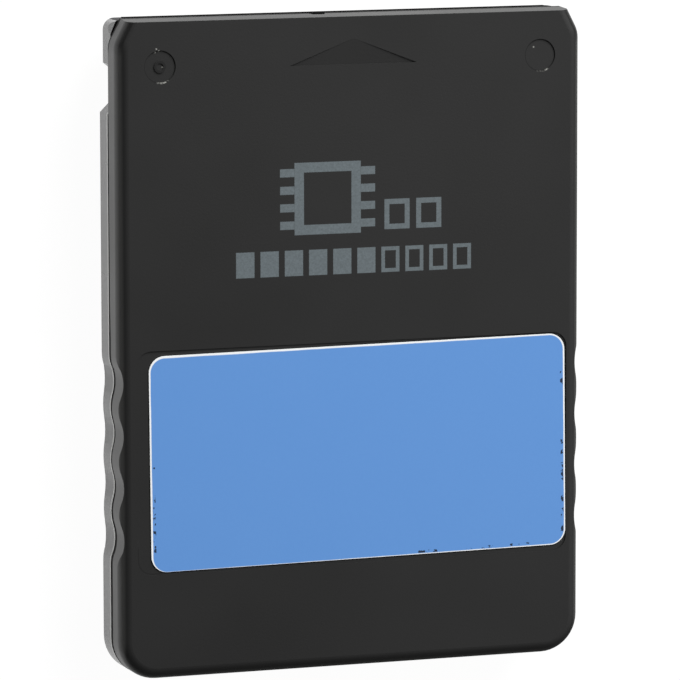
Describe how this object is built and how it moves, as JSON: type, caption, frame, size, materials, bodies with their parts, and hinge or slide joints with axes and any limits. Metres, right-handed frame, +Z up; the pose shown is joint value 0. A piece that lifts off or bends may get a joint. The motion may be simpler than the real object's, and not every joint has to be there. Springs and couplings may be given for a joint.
{
  "type": "console memory card",
  "caption": "Flat console memory card: plastic case with wavy finger grips, a recessed front label and flat contact strips in a window at one end, for plugging into a slot.",
  "frame": {"origin": "centre of the card's outline, on the flat back it lies on", "axes": "+X across the card, +Y to the connector end, +Z up from the back to the labelled face"},
  "size_m": [0.042, 0.0564, 0.0076],
  "materials": {
    "case_plastic": "fine satin moulding",
    "label_film": "printed film, soft gloss",
    "board_laminate": "solder resist",
    "carrier_plastic": "fine satin moulding",
    "contact_gold": "gold plated",
    "chip_moulding": "fine grained",
    "lead_tin": "tin plated",
    "crystal_can": "plated can",
    "tantalum_moulding": "matte",
    "capacitor_ceramic": "matte",
    "resistor_ceramic": "matte"
  },
  "bodies": {
    "root": {"front_shell": "case_plastic", "rear_shell": "case_plastic", "front_label": "label_film", "circuit_board": "board_laminate", "contact_carrier": "carrier_plastic", "contact_1": "contact_gold", "contact_2": "contact_gold", "contact_3": "contact_gold", "contact_4": "contact_gold", "contact_5": "contact_gold", "contact_6": "contact_gold", "contact_7": "contact_gold", "contact_8": "contact_gold", "flash_chip": "chip_moulding", "flash_chip_leads": "lead_tin", "controller_chip": "chip_moulding", "controller_chip_leads": "lead_tin", "crystal": "crystal_can", "voltage_regulator": "chip_moulding", "voltage_regulator_leads": "lead_tin", "bulk_capacitor": "tantalum_moulding", "decoupling_capacitors": "capacitor_ceramic", "resistors": "resistor_ceramic"}
  },
  "joints": []
}
